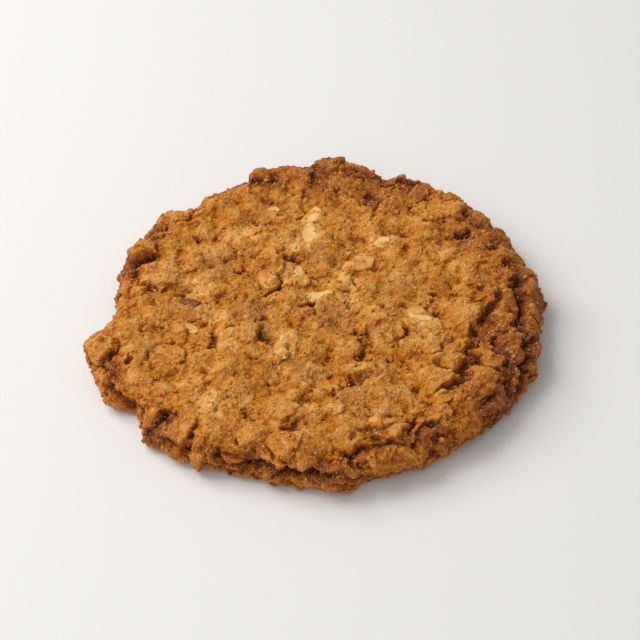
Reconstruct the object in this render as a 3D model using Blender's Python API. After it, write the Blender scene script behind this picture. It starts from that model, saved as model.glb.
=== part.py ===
"""A very large crumble cookie with almond slices, resting on its flat baked base.

The crust is one craggy solid. Its slices of almond are fused to it.
Metres, +Z up, with the origin in the middle of the flat base.
"""

import math
import random

import bmesh
import bpy
import numpy as np
from mathutils import Matrix, Vector

# Main sizes
MEAN_RADIUS = 0.1178
CENTRE_HEIGHT = 0.0215
SHOULDER_HEIGHT = 0.0230
SHOULDER_WIDTH = 0.0150
EQUATOR_HEIGHT = 0.0095
UNDERCUT = 0.0050

# Rings of faces from the middle of the top to the edge of the base
RINGS = 34

# How late the even rings of the side take over from the smooth grid of the top
EDGE_BLEND = 8

# Waves of the outline: how many in a turn, and their size along cosine and sine
OUTLINE_WAVES = ((1, 0.0022, -0.0034), (2, 0.0010, 0.0032))

# Knobs and notches of the outline: bearing and half width in degrees, and height
OUTLINE_BUMPS = (
    (0, 3, -0.0030),
    (7, 3, 0.0015),
    (13, 4, -0.0035),
    (34, 7, -0.0055),
    (57, 5, -0.0025),
    (68, 5, -0.0055),
    (91, 8, 0.0068),
    (106, 5, 0.0050),
    (118, 5, -0.0015),
    (131, 7, -0.0045),
    (156, 8, -0.0025),
    (177, 11, -0.0080),
    (196, 7, 0.0065),
    (208, 5, 0.0035),
    (216, 4, -0.0035),
    (230, 8, 0.0003),
    (250, 9, -0.0025),
    (275, 5, 0.0045),
    (341, 6, 0.0010),
)

# Plates of dough that stand out on the crust: x, y, radius and rise.
# Past the rim, x and y are measured on down the side, as if it were laid flat.
PLATES = (
    # around the middle
    (-0.043, -0.029, 0.0130, 0.0020),
    (0.013, -0.034, 0.0130, 0.0028),
    (-0.028, 0.028, 0.0080, 0.0035),
    (-0.025, 0.014, 0.0070, 0.0030),
    (-0.010, 0.013, 0.0070, 0.0025),
    (-0.024, 0.046, 0.0090, 0.0010),
    (0.014, 0.012, 0.0070, 0.0020),
    (0.030, -0.015, 0.0090, 0.0020),
    (0.022, -0.053, 0.0100, 0.0025),
    (-0.019, -0.045, 0.0050, 0.0020),
    # towards the left
    (-0.062, 0.055, 0.0100, 0.0015),
    (-0.055, 0.035, 0.0090, 0.0015),
    (-0.085, 0.017, 0.0130, 0.0030),
    (-0.096, 0.035, 0.0070, 0.0035),
    (-0.080, 0.066, 0.0080, 0.0020),
    (-0.073, -0.030, 0.0070, 0.0015),
    (-0.076, -0.043, 0.0065, 0.0015),
    (-0.098, -0.025, 0.0090, 0.0010),
    (-0.115, -0.038, 0.0090, 0.0025),
    # towards the back
    (-0.033, 0.102, 0.0095, 0.0030),
    (0.005, 0.112, 0.0110, 0.0030),
    (0.015, 0.095, 0.0080, 0.0010),
    (0.031, 0.106, 0.0065, 0.0015),
    (0.045, 0.111, 0.0070, 0.0025),
    (0.055, 0.085, 0.0080, 0.0020),
    (0.072, 0.072, 0.0100, 0.0020),
    # towards the right
    (0.053, 0.037, 0.0060, 0.0015),
    (0.042, -0.026, 0.0070, 0.0020),
    (0.052, -0.008, 0.0070, 0.0020),
    (0.076, -0.009, 0.0130, 0.0015),
    (0.058, -0.036, 0.0080, 0.0020),
    (0.090, -0.046, 0.0080, 0.0025),
    (0.103, -0.042, 0.0070, 0.0020),
    (0.085, -0.062, 0.0090, 0.0025),
    # towards the front
    (0.060, -0.061, 0.0100, 0.0020),
    (0.040, -0.072, 0.0120, 0.0015),
    (0.009, -0.084, 0.0080, 0.0030),
    (0.005, -0.069, 0.0060, 0.0020),
    (0.036, -0.094, 0.0110, 0.0020),
    (-0.018, -0.079, 0.0120, 0.0020),
    (-0.055, -0.078, 0.0080, 0.0015),
    (-0.066, -0.093, 0.0090, 0.0025),
    (-0.064, -0.111, 0.0075, 0.0025),
    (-0.085, -0.084, 0.0075, 0.0020),
    (-0.015, -0.106, 0.0100, 0.0015),
    (0.014, -0.122, 0.0085, 0.0030),
)

# Crevices at the edge of a layer: depth, then the points that each one follows, its low side on the right
CREVICES = (
    (0.0028, (-0.027, -0.037), (-0.028, -0.025), (-0.030, -0.012), (-0.031, 0.001)),
    (0.0030, (-0.027, 0.005), (-0.020, 0.012), (-0.015, 0.024), (-0.014, 0.030)),
    (0.0028, (0.014, -0.063), (0.022, -0.061), (0.031, -0.056), (0.037, -0.049)),
    (0.0050, (0.067, -0.069), (0.080, -0.047), (0.081, -0.033), (0.087, -0.022), (0.096, 0.000)),
    (0.0030, (0.098, -0.064), (0.098, -0.042), (0.096, -0.028)),
    (0.0055, (0.107, -0.060), (0.110, -0.038), (0.107, -0.020), (0.109, 0.004), (0.103, 0.030)),
    (0.0024, (0.024, 0.079), (0.033, 0.086), (0.041, 0.091), (0.051, 0.093)),
    (0.0028, (0.062, 0.064), (0.070, 0.058), (0.081, 0.054)),
    (0.0024, (-0.014, -0.101), (-0.010, -0.092), (0.000, -0.093)),
    (0.0040, (-0.101, 0.024), (-0.094, 0.028), (-0.089, 0.031)),
    (0.0035, (-0.029, 0.094), (-0.028, 0.106)),
    (0.0030, (-0.003, 0.092), (-0.001, 0.106)),
    (0.0025, (0.020, -0.047), (0.023, -0.038), (0.026, -0.026)),
    (0.0024, (0.062, -0.011), (0.063, 0.003)),
    (0.0024, (-0.055, -0.037), (-0.056, -0.023)),
    (0.0060, (-0.042, -0.116), (-0.022, -0.121), (-0.004, -0.124), (0.016, -0.124)),
    (0.0035, (-0.110, -0.060), (-0.098, -0.078), (-0.084, -0.096), (-0.066, -0.106)),
    (0.0035, (0.018, -0.112), (0.034, -0.106), (0.052, -0.098), (0.066, -0.088)),
    (0.0030, (0.020, -0.100), (0.033, -0.098), (0.048, -0.088), (0.056, -0.080)),
)

# Pits that reach deep into the crust: x, y, radius and depth
PITS = (
    (-0.088, 0.056, 0.0028, 0.0055),
    (-0.102, 0.017, 0.0028, 0.0050),
    (-0.079, -0.087, 0.0026, 0.0040),
    (-0.049, -0.113, 0.0040, 0.0070),
    (0.080, 0.054, 0.0026, 0.0040),
    (0.112, -0.018, 0.0025, 0.0040),
)

# Smaller plates scattered over the rest of the crust: largest and smallest radius, and most rise
FILL_RADII = (0.0090, 0.0030)
FILL_RISE = 0.0013
FILL_TRIES = 9000
FILL_SEED = 23
FILL_SPACING = 0.92

# Form of a plate: how soft its edge is at its high and low side, and the ditch at its foot.
# The low side of a placed plate has one softness of its own.
EDGE_SHARE = (0.32, 0.95)
PLACED_EDGE = 0.55
PLATE_CROWN = 0.11
DITCH_DEPTH = 0.0013
DITCH_PLACE = 1.08
DITCH_WIDTH = 0.11

# Most placed plates stand proud on their front right side: range of bearings in degrees
HIGH_SIDES = (-100, 50)

# Crevices: width on the high and on the low side, and the depth of the ones that never break off
CREVICE_WIDTHS = (0.0028, 0.0042)
DEEPEST_CREVICE = 0.0060

# Band before the widest level where the crags grow rougher, and how much rougher
RIM_BAND = 0.0260
RIM_ROUGHNESS = 0.8

# Past the widest level the crags fade towards the base: from where to where, and by how much
FADE_RUN = (0.012, 0.018)
FADE_SHARE = 0.8

# Wandering of every edge: sizes of the waves and how far they carry it
WANDER = ((0.0110, 0.0036), (0.0050, 0.0018))

# Soft swells of the crust: size and rise
SWELLS = ((0.0280, 0.0026), (0.0130, 0.0020))

# Lumps of dough: how far apart, rise, and how much more they rise at the rim
LUMPS = ((0.0150, 0.0022, 0.4), (0.0085, 0.0015, 0.5))

# Towards the rim the lumps are drawn out along it: how far
DRAWN_OUT = 2.4
LUMP_BEND = 0.30

# Almond slices: x, y, length, width, bearing and tilt in degrees
ALMOND_THICKNESS = 0.0016
ALMOND_SIDES = 8
ALMOND_POINT = 0.30
ALMOND_STAND = 0.0005
ALMONDS = (
    (-0.005, 0.052, 0.0160, 0.0070, 82, 12),
    (-0.003, 0.068, 0.0120, 0.0075, 100, -10),
    (-0.013, 0.021, 0.0110, 0.0060, 80, 14),
    (0.036, 0.045, 0.0080, 0.0060, 30, -12),
    (0.024, 0.027, 0.0155, 0.0095, 18, 14),
    (0.000, 0.001, 0.0180, 0.0060, 16, 24),
    (0.057, -0.019, 0.0170, 0.0110, -25, 8),
    (-0.066, -0.025, 0.0110, 0.0060, -30, 16),
    (-0.090, -0.042, 0.0170, 0.0070, 48, -12),
    (0.003, -0.020, 0.0095, 0.0050, 48, 26),
    (-0.068, -0.005, 0.0120, 0.0060, -22, 8),
)

CRUST_COLOUR = (0.42, 0.17, 0.04, 1)
CRUST_ROUGHNESS = 0.75


def clear_scene():
    """Remove every object that is already there."""
    for item in list(bpy.data.objects):
        bpy.data.objects.remove(item, do_unlink=True)


def make_collection(name):
    """Add a collection of this name to the scene."""
    group = bpy.data.collections.new(name)
    bpy.context.scene.collection.children.link(group)
    return group


def dough_material():
    """Golden brown baked dough."""
    material = bpy.data.materials.new("baked_dough")
    material.use_nodes = True
    shader = material.node_tree.nodes["Principled BSDF"]
    shader.inputs["Base Color"].default_value = CRUST_COLOUR
    shader.inputs["Roughness"].default_value = CRUST_ROUGHNESS
    shader.inputs["Metallic"].default_value = 0
    return material


def ramp(value, low, high):
    """Smooth step from 0 at low to 1 at high."""
    share = np.clip((value - low) / (high - low), 0, 1)
    return share * share * (3 - 2 * share)


def hashed(column, row, layer):
    """A fixed random number from 0 to 1 for each cell of a grid."""
    mixed = column * 73856093 ^ row * 19349663 ^ layer * 83492791
    mixed = (mixed ^ (mixed >> 13)) * 1274126177 & 0x7FFFFFFF
    mixed = (mixed ^ (mixed >> 16)) * 668265263 & 0x7FFFFFFF
    return (mixed & 0xFFFFF) / 0xFFFFF


def waves(points, size, layer):
    """Soft noise between about -1 and 1 at each x, y."""
    scaled = points / size
    cell = np.floor(scaled)
    x, y = (scaled - cell).T
    column, row = cell.astype(np.int64).T
    right = x**3 * (x * (x * 6 - 15) + 10)
    up = y**3 * (y * (y * 6 - 15) + 10)
    total = np.zeros(len(points))
    for a, across in ((0, 1 - right), (1, right)):
        for b, along in ((0, 1 - up), (1, up)):
            turn = 2 * math.pi * hashed(column + a, row + b, layer)
            total += across * along * (np.cos(turn) * (x - a) + np.sin(turn) * (y - b))
    return 1.5 * total


def bent(points, size, reach, layer):
    """Points carried about by soft noise of one size."""
    moved = points.copy()
    moved[:, 0] += reach * waves(points, size, layer)
    moved[:, 1] += reach * waves(points, size, layer + 1)
    return moved


def lumps(points, size, layer):
    """Scattered rounded lumps about one size apart: the tallest at each point, from 0 to 1."""
    scaled = points / size
    column, row = np.floor(scaled).astype(np.int64).T
    tallest = np.zeros(len(points))
    for a in (-1, 0, 1):
        for b in (-1, 0, 1):
            x = column + a + hashed(column + a, row + b, layer)
            y = row + b + hashed(column + a, row + b, layer + 1)
            width = 0.35 + 0.6 * hashed(column + a, row + b, layer + 2)
            share = np.hypot(scaled[:, 0] - x, scaled[:, 1] - y) / width
            tallest = np.maximum(tallest, width * np.clip(1 - share**2, 0, 1) ** 1.3)
    return tallest


def outline_radius(angle):
    """Radius of the widest level of the cookie at each bearing, in radians."""
    radius = np.full_like(angle, MEAN_RADIUS)
    for count, along_cosine, along_sine in OUTLINE_WAVES:
        radius += along_cosine * np.cos(count * angle) + along_sine * np.sin(count * angle)
    for bearing, half_width, height in OUTLINE_BUMPS:
        turn = np.angle(np.exp(1j * (angle - math.radians(bearing))))
        radius += height * np.exp(-((turn / math.radians(half_width)) ** 2))
    return radius


def shoulder_length():
    """Length of the curve from the flat of the top down to the widest level."""
    drop = SHOULDER_HEIGHT - EQUATOR_HEIGHT
    return math.pi / 2 * math.sqrt((SHOULDER_WIDTH**2 + drop**2) / 2)


def under_length():
    """Length of the curve from the widest level in to the edge of the base."""
    return math.hypot(UNDERCUT, EQUATOR_HEIGHT)


def side_section(radius, run):
    """Place and outward direction at a run along the section, from the middle of the top.

    Returns distance from the axis, height, and the two parts of the normal.
    """
    flat = radius - SHOULDER_WIDTH
    top_share = np.clip(run / flat, 0, 1)
    turn = np.clip((run - flat) / shoulder_length(), 0, 1) * math.pi / 2
    under = np.clip((run - flat - shoulder_length()) / under_length(), 0, 1)
    drop = SHOULDER_HEIGHT - EQUATOR_HEIGHT
    rise = (SHOULDER_HEIGHT - CENTRE_HEIGHT) * top_share**2
    reach = flat * top_share + SHOULDER_WIDTH * np.sin(turn) - UNDERCUT * under**1.6
    height = CENTRE_HEIGHT + rise - drop * (1 - np.cos(turn)) - EQUATOR_HEIGHT * under
    outward = np.sin(turn)
    upward = np.cos(turn) - 0.7 * under
    size = np.hypot(outward, upward)
    return reach, height, outward / size, upward / size


def all_plates():
    """Every plate: the placed ones, then seeded small ones wherever there is room, largest first.

    Each is x, y, radius, rise, softness of its low side, bearing of its high side and strength of its ditch.
    """
    draw = random.Random(FILL_SEED)
    plates = []
    for plate in PLATES:
        high_side = math.radians(draw.uniform(*HIGH_SIDES))
        plates.append((*plate, PLACED_EDGE, high_side, 1.0))
    reach = MEAN_RADIUS + shoulder_length()
    for attempt in range(FILL_TRIES):
        share = attempt / FILL_TRIES
        size = FILL_RADII[0] + (FILL_RADII[1] - FILL_RADII[0]) * share
        bearing = draw.uniform(0, 2 * math.pi)
        distance = reach * math.sqrt(draw.random())
        x = distance * math.cos(bearing)
        y = distance * math.sin(bearing)
        rise = draw.uniform(0.3, 1) * FILL_RISE
        edge = draw.uniform(*EDGE_SHARE)
        high_side = draw.uniform(0, 2 * math.pi)
        ditch = draw.uniform(0, 1) ** 1.5
        if all(math.hypot(x - a, y - b) > FILL_SPACING * (size + c) for a, b, c, *_ in plates):
            plates.append((x, y, size, rise, edge, high_side, ditch))
    return plates


def plate_relief(points, plates):
    """Height of the plates, strength of the ditches, and how far each point is in a plate."""
    level, ditch, inside = np.zeros((3, len(points)))
    for x, y, radius, rise, edge, high_side, strength in plates:
        near = np.nonzero(np.abs(points - (x, y)).max(axis=1) < 1.4 * radius)[0]
        offset = points[near] - (x, y)
        away = np.hypot(*offset.T) + 1e-9
        share = away / radius
        facing = offset @ (math.cos(high_side), math.sin(high_side)) / away
        soft = EDGE_SHARE[0] + (edge - EDGE_SHARE[0]) * (0.5 - 0.5 * facing)
        top = 1 - ramp(share, 1 - soft, 1.0)
        height = rise * top * (0.6 + 0.4 * share * facing) + PLATE_CROWN * radius * (1 - ramp(share, 0, 1))
        foot = strength * (0.5 + 0.5 * facing) * np.exp(-(((share - DITCH_PLACE) / DITCH_WIDTH) ** 2))
        level[near] = np.maximum(level[near], height)
        inside[near] = np.maximum(inside[near], top)
        ditch[near] = np.maximum(ditch[near], foot)
    return level, ditch * (1 - inside), inside


def distance_to_path(points, path):
    """Distance of each point from a line through a few others, and whether it lies on the right of it."""
    nearest = np.full(len(points), np.inf)
    right = np.zeros(len(points), dtype=bool)
    for start, end in zip(path[:-1], path[1:]):
        start, end = np.array(start), np.array(end)
        along = end - start
        offset = points - start
        share = np.clip(offset @ along / (along @ along), 0, 1)
        away = np.hypot(*(offset - share[:, None] * along).T)
        on_right = along[0] * offset[:, 1] < along[1] * offset[:, 0]
        right = np.where(away < nearest, on_right, right)
        nearest = np.minimum(nearest, away)
    return nearest, right


def bent_lumps(points, size, layer):
    """Lumps of one size with wandering edges."""
    reach = LUMP_BEND * size
    moved = bent(bent(points, size, reach, 20 + 4 * layer), 0.4 * size, 0.4 * reach, 60 + 4 * layer)
    return lumps(moved, size, 100 + 4 * layer)


def lump_relief(points, rim):
    """Rounded lumps of dough of several sizes, drawn out along the rim."""
    height = np.zeros(len(points))
    run = np.hypot(*points.T) + 1e-9
    drawn_out = points * (1 - MEAN_RADIUS * (1 - 1 / DRAWN_OUT) / run)[:, None]
    for layer, (size, rise, more) in enumerate(LUMPS):
        tallest = bent_lumps(points, size, layer)
        tallest += rim * (bent_lumps(drawn_out, size, layer) - tallest)
        height += rise * (1 + more * rim) * (tallest - 0.3)
    return height


def relief(points, rim, plates):
    """Height of the crags over the plain form; rim is 0 on the top and 1 down the side."""
    moved = points
    for layer, (size, reach) in enumerate(WANDER):
        moved = bent(moved, size, reach, 2 * layer)
    level, ditch, inside = plate_relief(moved, plates)
    patchy = ramp(waves(points, 0.012, 301) + 0.5 * waves(points, 0.005, 302), -0.2, 0.4)
    height = level * (0.8 + 0.7 * rim) - DITCH_DEPTH * ditch * patchy * (1 + RIM_ROUGHNESS * rim)
    for layer, (size, rise) in enumerate(SWELLS):
        height += rise * waves(points, size, 310 + layer)
    ragged = bent(moved, 0.006, 0.0016, 340)
    broken = ramp(waves(points, 0.009, 342), -0.3, 0.2)
    for depth, *path in CREVICES:
        away, right = distance_to_path(ragged, path)
        width = np.where(right, CREVICE_WIDTHS[1], CREVICE_WIDTHS[0])
        share = depth / DEEPEST_CREVICE
        height -= depth * (share + (1 - share) * broken) * np.exp(-((away / width) ** 2))
    for x, y, radius, depth in PITS:
        height -= depth * np.exp(-(np.hypot(*(moved - (x, y)).T) / radius) ** 2)
    uneven = 1 - 0.3 * inside + 0.5 * waves(points, 0.011, 320)
    return height + lump_relief(points, rim) * np.clip(uneven, 0.4, 1.6)


def disc_map(u, v):
    """Places on a disc of points of a square: smooth in the middle, with even rings at the edge."""
    wide = np.abs(u) >= np.abs(v)
    major = np.where(wide, u, v)
    minor = np.where(wide, v, u)
    ratio = np.divide(minor, major, out=np.zeros_like(u), where=major != 0)
    turn = np.where(wide, ratio, 2 - ratio) * math.pi / 4
    share = np.abs(major) ** EDGE_BLEND
    x = (1 - share) * u * np.sqrt(1 - v**2 / 2) + share * major * np.cos(turn)
    y = (1 - share) * v * np.sqrt(1 - u**2 / 2) + share * major * np.sin(turn)
    return np.hypot(x, y), np.arctan2(y, x)


def crust_points(ring, angle, plates):
    """Places in space of points of the crust, given by ring share and bearing."""
    radius = outline_radius(angle)
    run = ring * (radius - SHOULDER_WIDTH + shoulder_length() + under_length())
    reach, height, outward, upward = side_section(radius, run)
    flat_points = np.column_stack([run * np.cos(angle), run * np.sin(angle)])
    rim = ramp(run, radius - RIM_BAND, radius)
    crags = relief(flat_points, rim, plates)
    crags *= 1 - FADE_SHARE * ramp(run, radius + FADE_RUN[0], radius + FADE_RUN[1])
    reach = reach + crags * outward
    height = np.maximum(height + crags * upward, 0.0005)
    height[np.isclose(ring, 1)] = 0
    return np.column_stack([reach * np.cos(angle), reach * np.sin(angle), height])


def make_crust(group, plates):
    """The craggy body: a square grid wrapped over top and side, closed by the flat base.

    Returns it with the place that the tables give to the middle of its bounding box, where the origin goes.
    """
    mesh = bmesh.new()
    bmesh.ops.create_grid(mesh, x_segments=2 * RINGS, y_segments=2 * RINGS, size=1)
    flat = np.array([vertex.co for vertex in mesh.verts])
    ring, angle = disc_map(flat[:, 0], flat[:, 1])
    places = crust_points(ring, angle, plates)
    middle = (places.min(axis=0) + places.max(axis=0)) / 2 * (1, 1, 0)
    places -= middle
    for vertex, place in zip(mesh.verts, places):
        vertex.co = place
    border = [edge for edge in mesh.edges if edge.is_boundary]
    bmesh.ops.holes_fill(mesh, edges=border, sides=len(border))
    quads = [face for face in mesh.faces if len(face.verts) == 4]
    bmesh.ops.triangulate(mesh, faces=quads, quad_method="SHORT_EDGE")
    bmesh.ops.recalc_face_normals(mesh, faces=mesh.faces)
    data = bpy.data.meshes.new("cookie")
    mesh.to_mesh(data)
    mesh.free()
    data.materials.append(dough_material())
    crust = bpy.data.objects.new("cookie", data)
    group.objects.link(crust)
    return crust, middle


def make_almond(group, crust, middle, index, almond):
    """One slice of almond, half sunk in the crust where it lies."""
    x, y, length, width, bearing, tilt = almond
    mesh = bmesh.new()
    bmesh.ops.create_cone(
        mesh,
        cap_ends=True,
        segments=ALMOND_SIDES,
        radius1=0.5,
        radius2=0.42,
        depth=1,
    )
    for vertex in mesh.verts:
        taper = 1 - ALMOND_POINT * (vertex.co.x + 0.5)
        vertex.co = (vertex.co.x * length, vertex.co.y * width * taper, vertex.co.z * ALMOND_THICKNESS)
    data = bpy.data.meshes.new(f"almond_{index}")
    mesh.to_mesh(data)
    mesh.free()
    slice_object = bpy.data.objects.new(f"almond_{index}", data)
    _, place, _, _ = crust.ray_cast(Vector((x - middle[0], y - middle[1], 0.1)), Vector((0, 0, -1)))
    turned = Matrix.Rotation(math.radians(bearing), 4, "Z")
    tilted = Matrix.Rotation(math.radians(tilt), 4, "X")
    stand = Vector((0, 0, ALMOND_STAND))
    slice_object.matrix_world = Matrix.Translation(place + stand) @ turned @ tilted
    slice_object.hide_render = True
    slice_object.display_type = "WIRE"
    group.objects.link(slice_object)


def fuse(crust, helpers):
    """Join the slices to the crust, then remove them."""
    joint = crust.modifiers.new("almonds", "BOOLEAN")
    joint.operation = "UNION"
    joint.operand_type = "COLLECTION"
    joint.collection = helpers
    joint.solver = "EXACT"
    depsgraph = bpy.context.evaluated_depsgraph_get()
    fused = bpy.data.meshes.new_from_object(crust.evaluated_get(depsgraph))
    crust.modifiers.clear()
    crust.data = fused
    for item in list(helpers.objects):
        bpy.data.objects.remove(item, do_unlink=True)


def main():
    clear_scene()
    parts = make_collection("crumble_cookie")
    helpers = make_collection("almond_helpers")
    crust, middle = make_crust(parts, all_plates())
    bpy.context.view_layer.update()
    for index, almond in enumerate(ALMONDS):
        make_almond(helpers, crust, middle, index, almond)
    bpy.context.view_layer.update()
    fuse(crust, helpers)
    crust.data.shade_smooth()


main()
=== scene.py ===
"""Looks of the crumble cookie: its crust in full relief, its almond slices, crumbs, floor, light and camera.

The crust is worked out from the same plates, crevices and outline as the solid that it replaces.
Metres, +Z up, apart from the tables that are given in millimetres.
"""

import math
import random

import bmesh
import bpy
import numpy as np
from mathutils import Matrix, Vector

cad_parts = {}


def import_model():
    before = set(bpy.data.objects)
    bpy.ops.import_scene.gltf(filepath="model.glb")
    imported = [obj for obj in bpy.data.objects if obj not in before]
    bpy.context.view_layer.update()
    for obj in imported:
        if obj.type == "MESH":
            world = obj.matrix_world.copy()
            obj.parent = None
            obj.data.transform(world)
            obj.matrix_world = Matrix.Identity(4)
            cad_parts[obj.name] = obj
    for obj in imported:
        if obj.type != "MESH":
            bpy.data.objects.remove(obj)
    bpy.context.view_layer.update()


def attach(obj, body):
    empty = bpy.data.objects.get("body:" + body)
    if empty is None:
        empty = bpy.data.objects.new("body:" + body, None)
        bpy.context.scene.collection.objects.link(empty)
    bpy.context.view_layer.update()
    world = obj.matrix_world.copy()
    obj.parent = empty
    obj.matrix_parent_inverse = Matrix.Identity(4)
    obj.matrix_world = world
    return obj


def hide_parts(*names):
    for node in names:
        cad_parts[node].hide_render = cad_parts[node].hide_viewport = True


NODE = "cookie"
BODY = "root"

# Camera of the photograph, placed in the same frame as the tables below
CAMERA_PLACE = (0.0015, -0.7615, 0.7389)
CAMERA_PITCH = 43.94
CAMERA_ROLL = 0.557
CAMERA_LENS = 109.34
SENSOR_WIDTH = 36.0

# Lamps, which all face the middle: name, place, power and colour
LAMPS = (
    ("key", (-1.15, 0.45, 1.30), 31, (1.0, 0.985, 0.96)),
    ("fill", (-0.7, -1.2, 1.3), 8, (0.97, 0.98, 1.0)),
)
LAMP_SIZE = 1.4
SURROUND_COLOUR = (0.94, 0.93, 0.91, 1)
SURROUND_STRENGTH = 0.43

# Floor: half its side, how far under the cookie it lies, and its finish
FLOOR_REACH = 4.0
FLOOR_DROP = 0.0002
FLOOR_COLOUR = (0.76, 0.75, 0.74, 1)
FLOOR_ROUGHNESS = 0.9

# Main sizes of the cookie
MEAN_RADIUS = 0.1178
CENTRE_HEIGHT = 0.0215
SHOULDER_HEIGHT = 0.0230
SHOULDER_WIDTH = 0.0150
EQUATOR_HEIGHT = 0.0095
UNDERCUT = 0.0050

# Faces along each side of the square grid that becomes the crust, and of the one for the base
CRUST_GRID = 600
BASE_GRID = 100

# What the material of the crust reads at each point
CRUST_FIELDS = ("ditch", "mound", "tone", "browning", "pale", "dull", "baked", "crease")
CRUST_FIELDS += ("hollow", "wide_hollow", "steep")

# Share of the square grid taken by each piece of crust: the crust is made of a square number of pieces
CRUST_TILES = 2

# How late the even rings of the side take over from the smooth grid of the top
EDGE_BLEND = 8

# Waves of the outline: how many in a turn, and their size along cosine and sine
OUTLINE_WAVES = ((1, 0.0022, -0.0034), (2, 0.0010, 0.0032))

# Knobs and notches of the outline: bearing and half width in degrees, and height
OUTLINE_BUMPS = (
    (0, 3, -0.0030),
    (7, 3, 0.0015),
    (13, 4, -0.0035),
    (34, 7, -0.0055),
    (57, 5, -0.0025),
    (68, 5, -0.0055),
    (91, 8, 0.0068),
    (106, 5, 0.0050),
    (118, 5, -0.0015),
    (131, 7, -0.0045),
    (156, 8, -0.0025),
    (177, 11, -0.0080),
    (196, 7, 0.0065),
    (208, 5, 0.0035),
    (216, 4, -0.0035),
    (230, 8, 0.0003),
    (250, 9, -0.0025),
    (275, 5, 0.0045),
    (341, 6, 0.0010),
)

# Plates of dough that stand out on the crust: x, y, radius and rise, in millimetres.
# Past the rim, x and y are measured on down the side, as if it were laid flat.
PLATES = np.array((
    # around the middle
    (-43, -29, 13, 2),
    (13, -34, 13, 2.8),
    (-28, 28, 8, 3.5),
    (-25, 14, 7, 3),
    (-10, 13, 7, 2.5),
    (-24, 46, 9, 1),
    (14, 12, 7, 2),
    (30, -15, 9, 2),
    (22, -53, 10, 2.5),
    (-19, -45, 5, 2),
    # towards the left
    (-62, 55, 10, 1.5),
    (-55, 35, 9, 1.5),
    (-85, 17, 13, 3),
    (-96, 35, 7, 3.5),
    (-80, 66, 8, 2),
    (-73, -30, 7, 1.5),
    (-76, -43, 6.5, 1.5),
    (-98, -25, 9, 1),
    (-115, -38, 9, 2.5),
    # towards the back
    (-33, 102, 9.5, 3),
    (5, 112, 11, 3),
    (15, 95, 8, 1),
    (31, 106, 6.5, 1.5),
    (45, 111, 7, 2.5),
    (55, 85, 8, 2),
    (72, 72, 10, 2),
    # towards the right
    (53, 37, 6, 1.5),
    (42, -26, 7, 2),
    (52, -8, 7, 2),
    (76, -9, 13, 1.5),
    (58, -36, 8, 2),
    (90, -46, 8, 2.5),
    (103, -42, 7, 2),
    (85, -62, 9, 2.5),
    # towards the front
    (60, -61, 10, 2),
    (40, -72, 12, 1.5),
    (9, -84, 8, 3),
    (5, -69, 6, 2),
    (36, -94, 11, 2),
    (-18, -79, 12, 2),
    (-55, -78, 8, 1.5),
    (-66, -93, 9, 2.5),
    (-64, -111, 7.5, 2.5),
    (-85, -84, 7.5, 2),
    (-15, -106, 10, 1.5),
    (14, -122, 8.5, 3),
)) / 1000

# Crevices at the edge of a layer: depth, then the points that each one follows, its low side on the right
CREVICES = (
    (0.0028, (-0.027, -0.037), (-0.028, -0.025), (-0.030, -0.012), (-0.031, 0.001)),
    (0.0030, (-0.027, 0.005), (-0.020, 0.012), (-0.015, 0.024), (-0.014, 0.030)),
    (0.0028, (0.014, -0.063), (0.022, -0.061), (0.031, -0.056), (0.037, -0.049)),
    (0.0050, (0.067, -0.069), (0.080, -0.047), (0.081, -0.033), (0.087, -0.022), (0.096, 0.000)),
    (0.0030, (0.098, -0.064), (0.098, -0.042), (0.096, -0.028)),
    (0.0055, (0.107, -0.060), (0.110, -0.038), (0.107, -0.020), (0.109, 0.004), (0.103, 0.030)),
    (0.0024, (0.024, 0.079), (0.033, 0.086), (0.041, 0.091), (0.051, 0.093)),
    (0.0028, (0.062, 0.064), (0.070, 0.058), (0.081, 0.054)),
    (0.0024, (-0.014, -0.101), (-0.010, -0.092), (0.000, -0.093)),
    (0.0040, (-0.101, 0.024), (-0.094, 0.028), (-0.089, 0.031)),
    (0.0035, (-0.029, 0.094), (-0.028, 0.106)),
    (0.0030, (-0.003, 0.092), (-0.001, 0.106)),
    (0.0025, (0.020, -0.047), (0.023, -0.038), (0.026, -0.026)),
    (0.0024, (0.062, -0.011), (0.063, 0.003)),
    (0.0024, (-0.055, -0.037), (-0.056, -0.023)),
    (0.0060, (-0.042, -0.116), (-0.022, -0.121), (-0.004, -0.124), (0.016, -0.124)),
    (0.0035, (-0.110, -0.060), (-0.098, -0.078), (-0.084, -0.096), (-0.066, -0.106)),
    (0.0035, (0.018, -0.112), (0.034, -0.106), (0.052, -0.098), (0.066, -0.088)),
    (0.0030, (0.020, -0.100), (0.033, -0.098), (0.048, -0.088), (0.056, -0.080)),
)

# Pits that reach deep into the crust: x, y, radius and depth, in millimetres
PITS = np.array((
    (-88, 56, 2.6, 6),
    (-102, 17, 2.6, 5.5),
    (-79, -87, 2.2, 4.5),
    (-49, -113, 3.6, 8),
    (80, 54, 2.2, 4.5),
    (112, -18, 2.2, 4.5),
    (-15, 30, 2.6, 6.5),
    (-4, -6, 2.6, 6),
    (48, -25, 2, 4.5),
    (-98, -50, 1.8, 4),
    (-88, -46, 1.4, 3),
    (14, -67, 1.4, 3),
    (16, -6, 1.4, 3),
    (-112, -52, 1.6, 3.5),
    (115, -26, 2, 4.5),
)) / 1000

# Smaller plates scattered over the rest of the crust: largest and smallest radius, and most rise
FILL_RADII = (0.0090, 0.0030)
FILL_RISE = 0.0013
FILL_TRIES = 9000
FILL_SEED = 23
FILL_SPACING = 0.92

# Form of a plate: how soft its edge is at its high and low side, and the ditch at its foot.
# The low side of a placed plate has one softness of its own.
EDGE_SHARE = (0.32, 0.95)
PLACED_EDGE = 0.55
PLATE_CROWN = 0.11
DITCH_DEPTH = 0.0013
DITCH_PLACE = 1.08
DITCH_WIDTH = 0.11

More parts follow.
